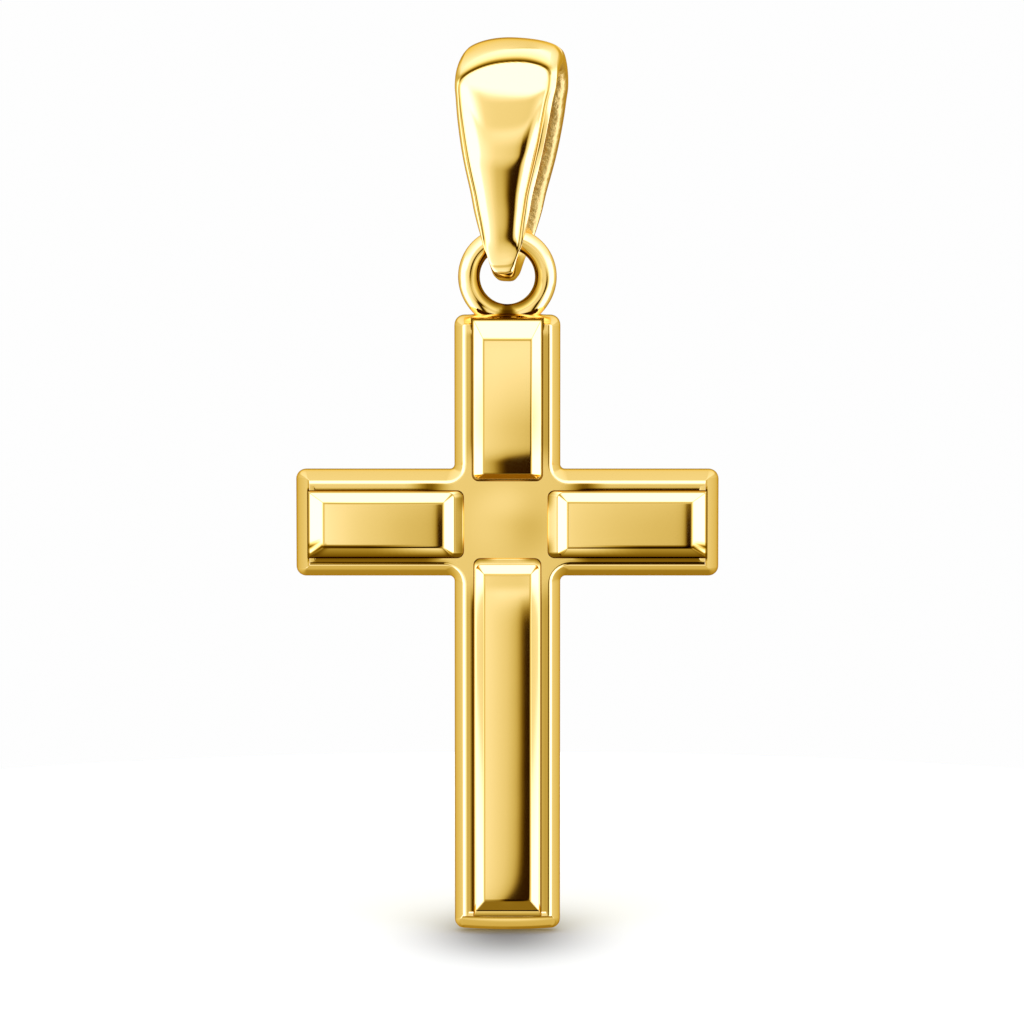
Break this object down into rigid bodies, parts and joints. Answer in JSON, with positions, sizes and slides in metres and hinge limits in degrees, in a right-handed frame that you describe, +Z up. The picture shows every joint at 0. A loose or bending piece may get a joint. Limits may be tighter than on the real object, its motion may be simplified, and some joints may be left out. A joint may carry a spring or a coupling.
{
  "type": "cross pendant",
  "caption": "Plain gold cross pendant with raised bevelled bars, a soldered ring at its head and a tapered bail for a chain.",
  "frame": {"origin": "the chain's seat, at the inside top of the bail, where the pendant hangs", "axes": "+Z up, -Y out of the front of the cross, +X to the viewer's right"},
  "size_m": [0.0144, 0.0034, 0.0303],
  "materials": {
    "polished_gold": "mirror polished yellow gold",
    "bail_gold": "polished yellow gold outside, as cast inside the opening"
  },
  "bodies": {
    "bail": {"bail": "bail_gold"},
    "cross": {"cross": "polished_gold"}
  },
  "joints": [
    {"name": "ring_swing", "type": "hinge", "parent": "bail", "child": "cross", "pos_m": [-0.00017, 0, -0.00581], "axis": [1, 0, 0], "range_deg": [-35, 35]}
  ]
}
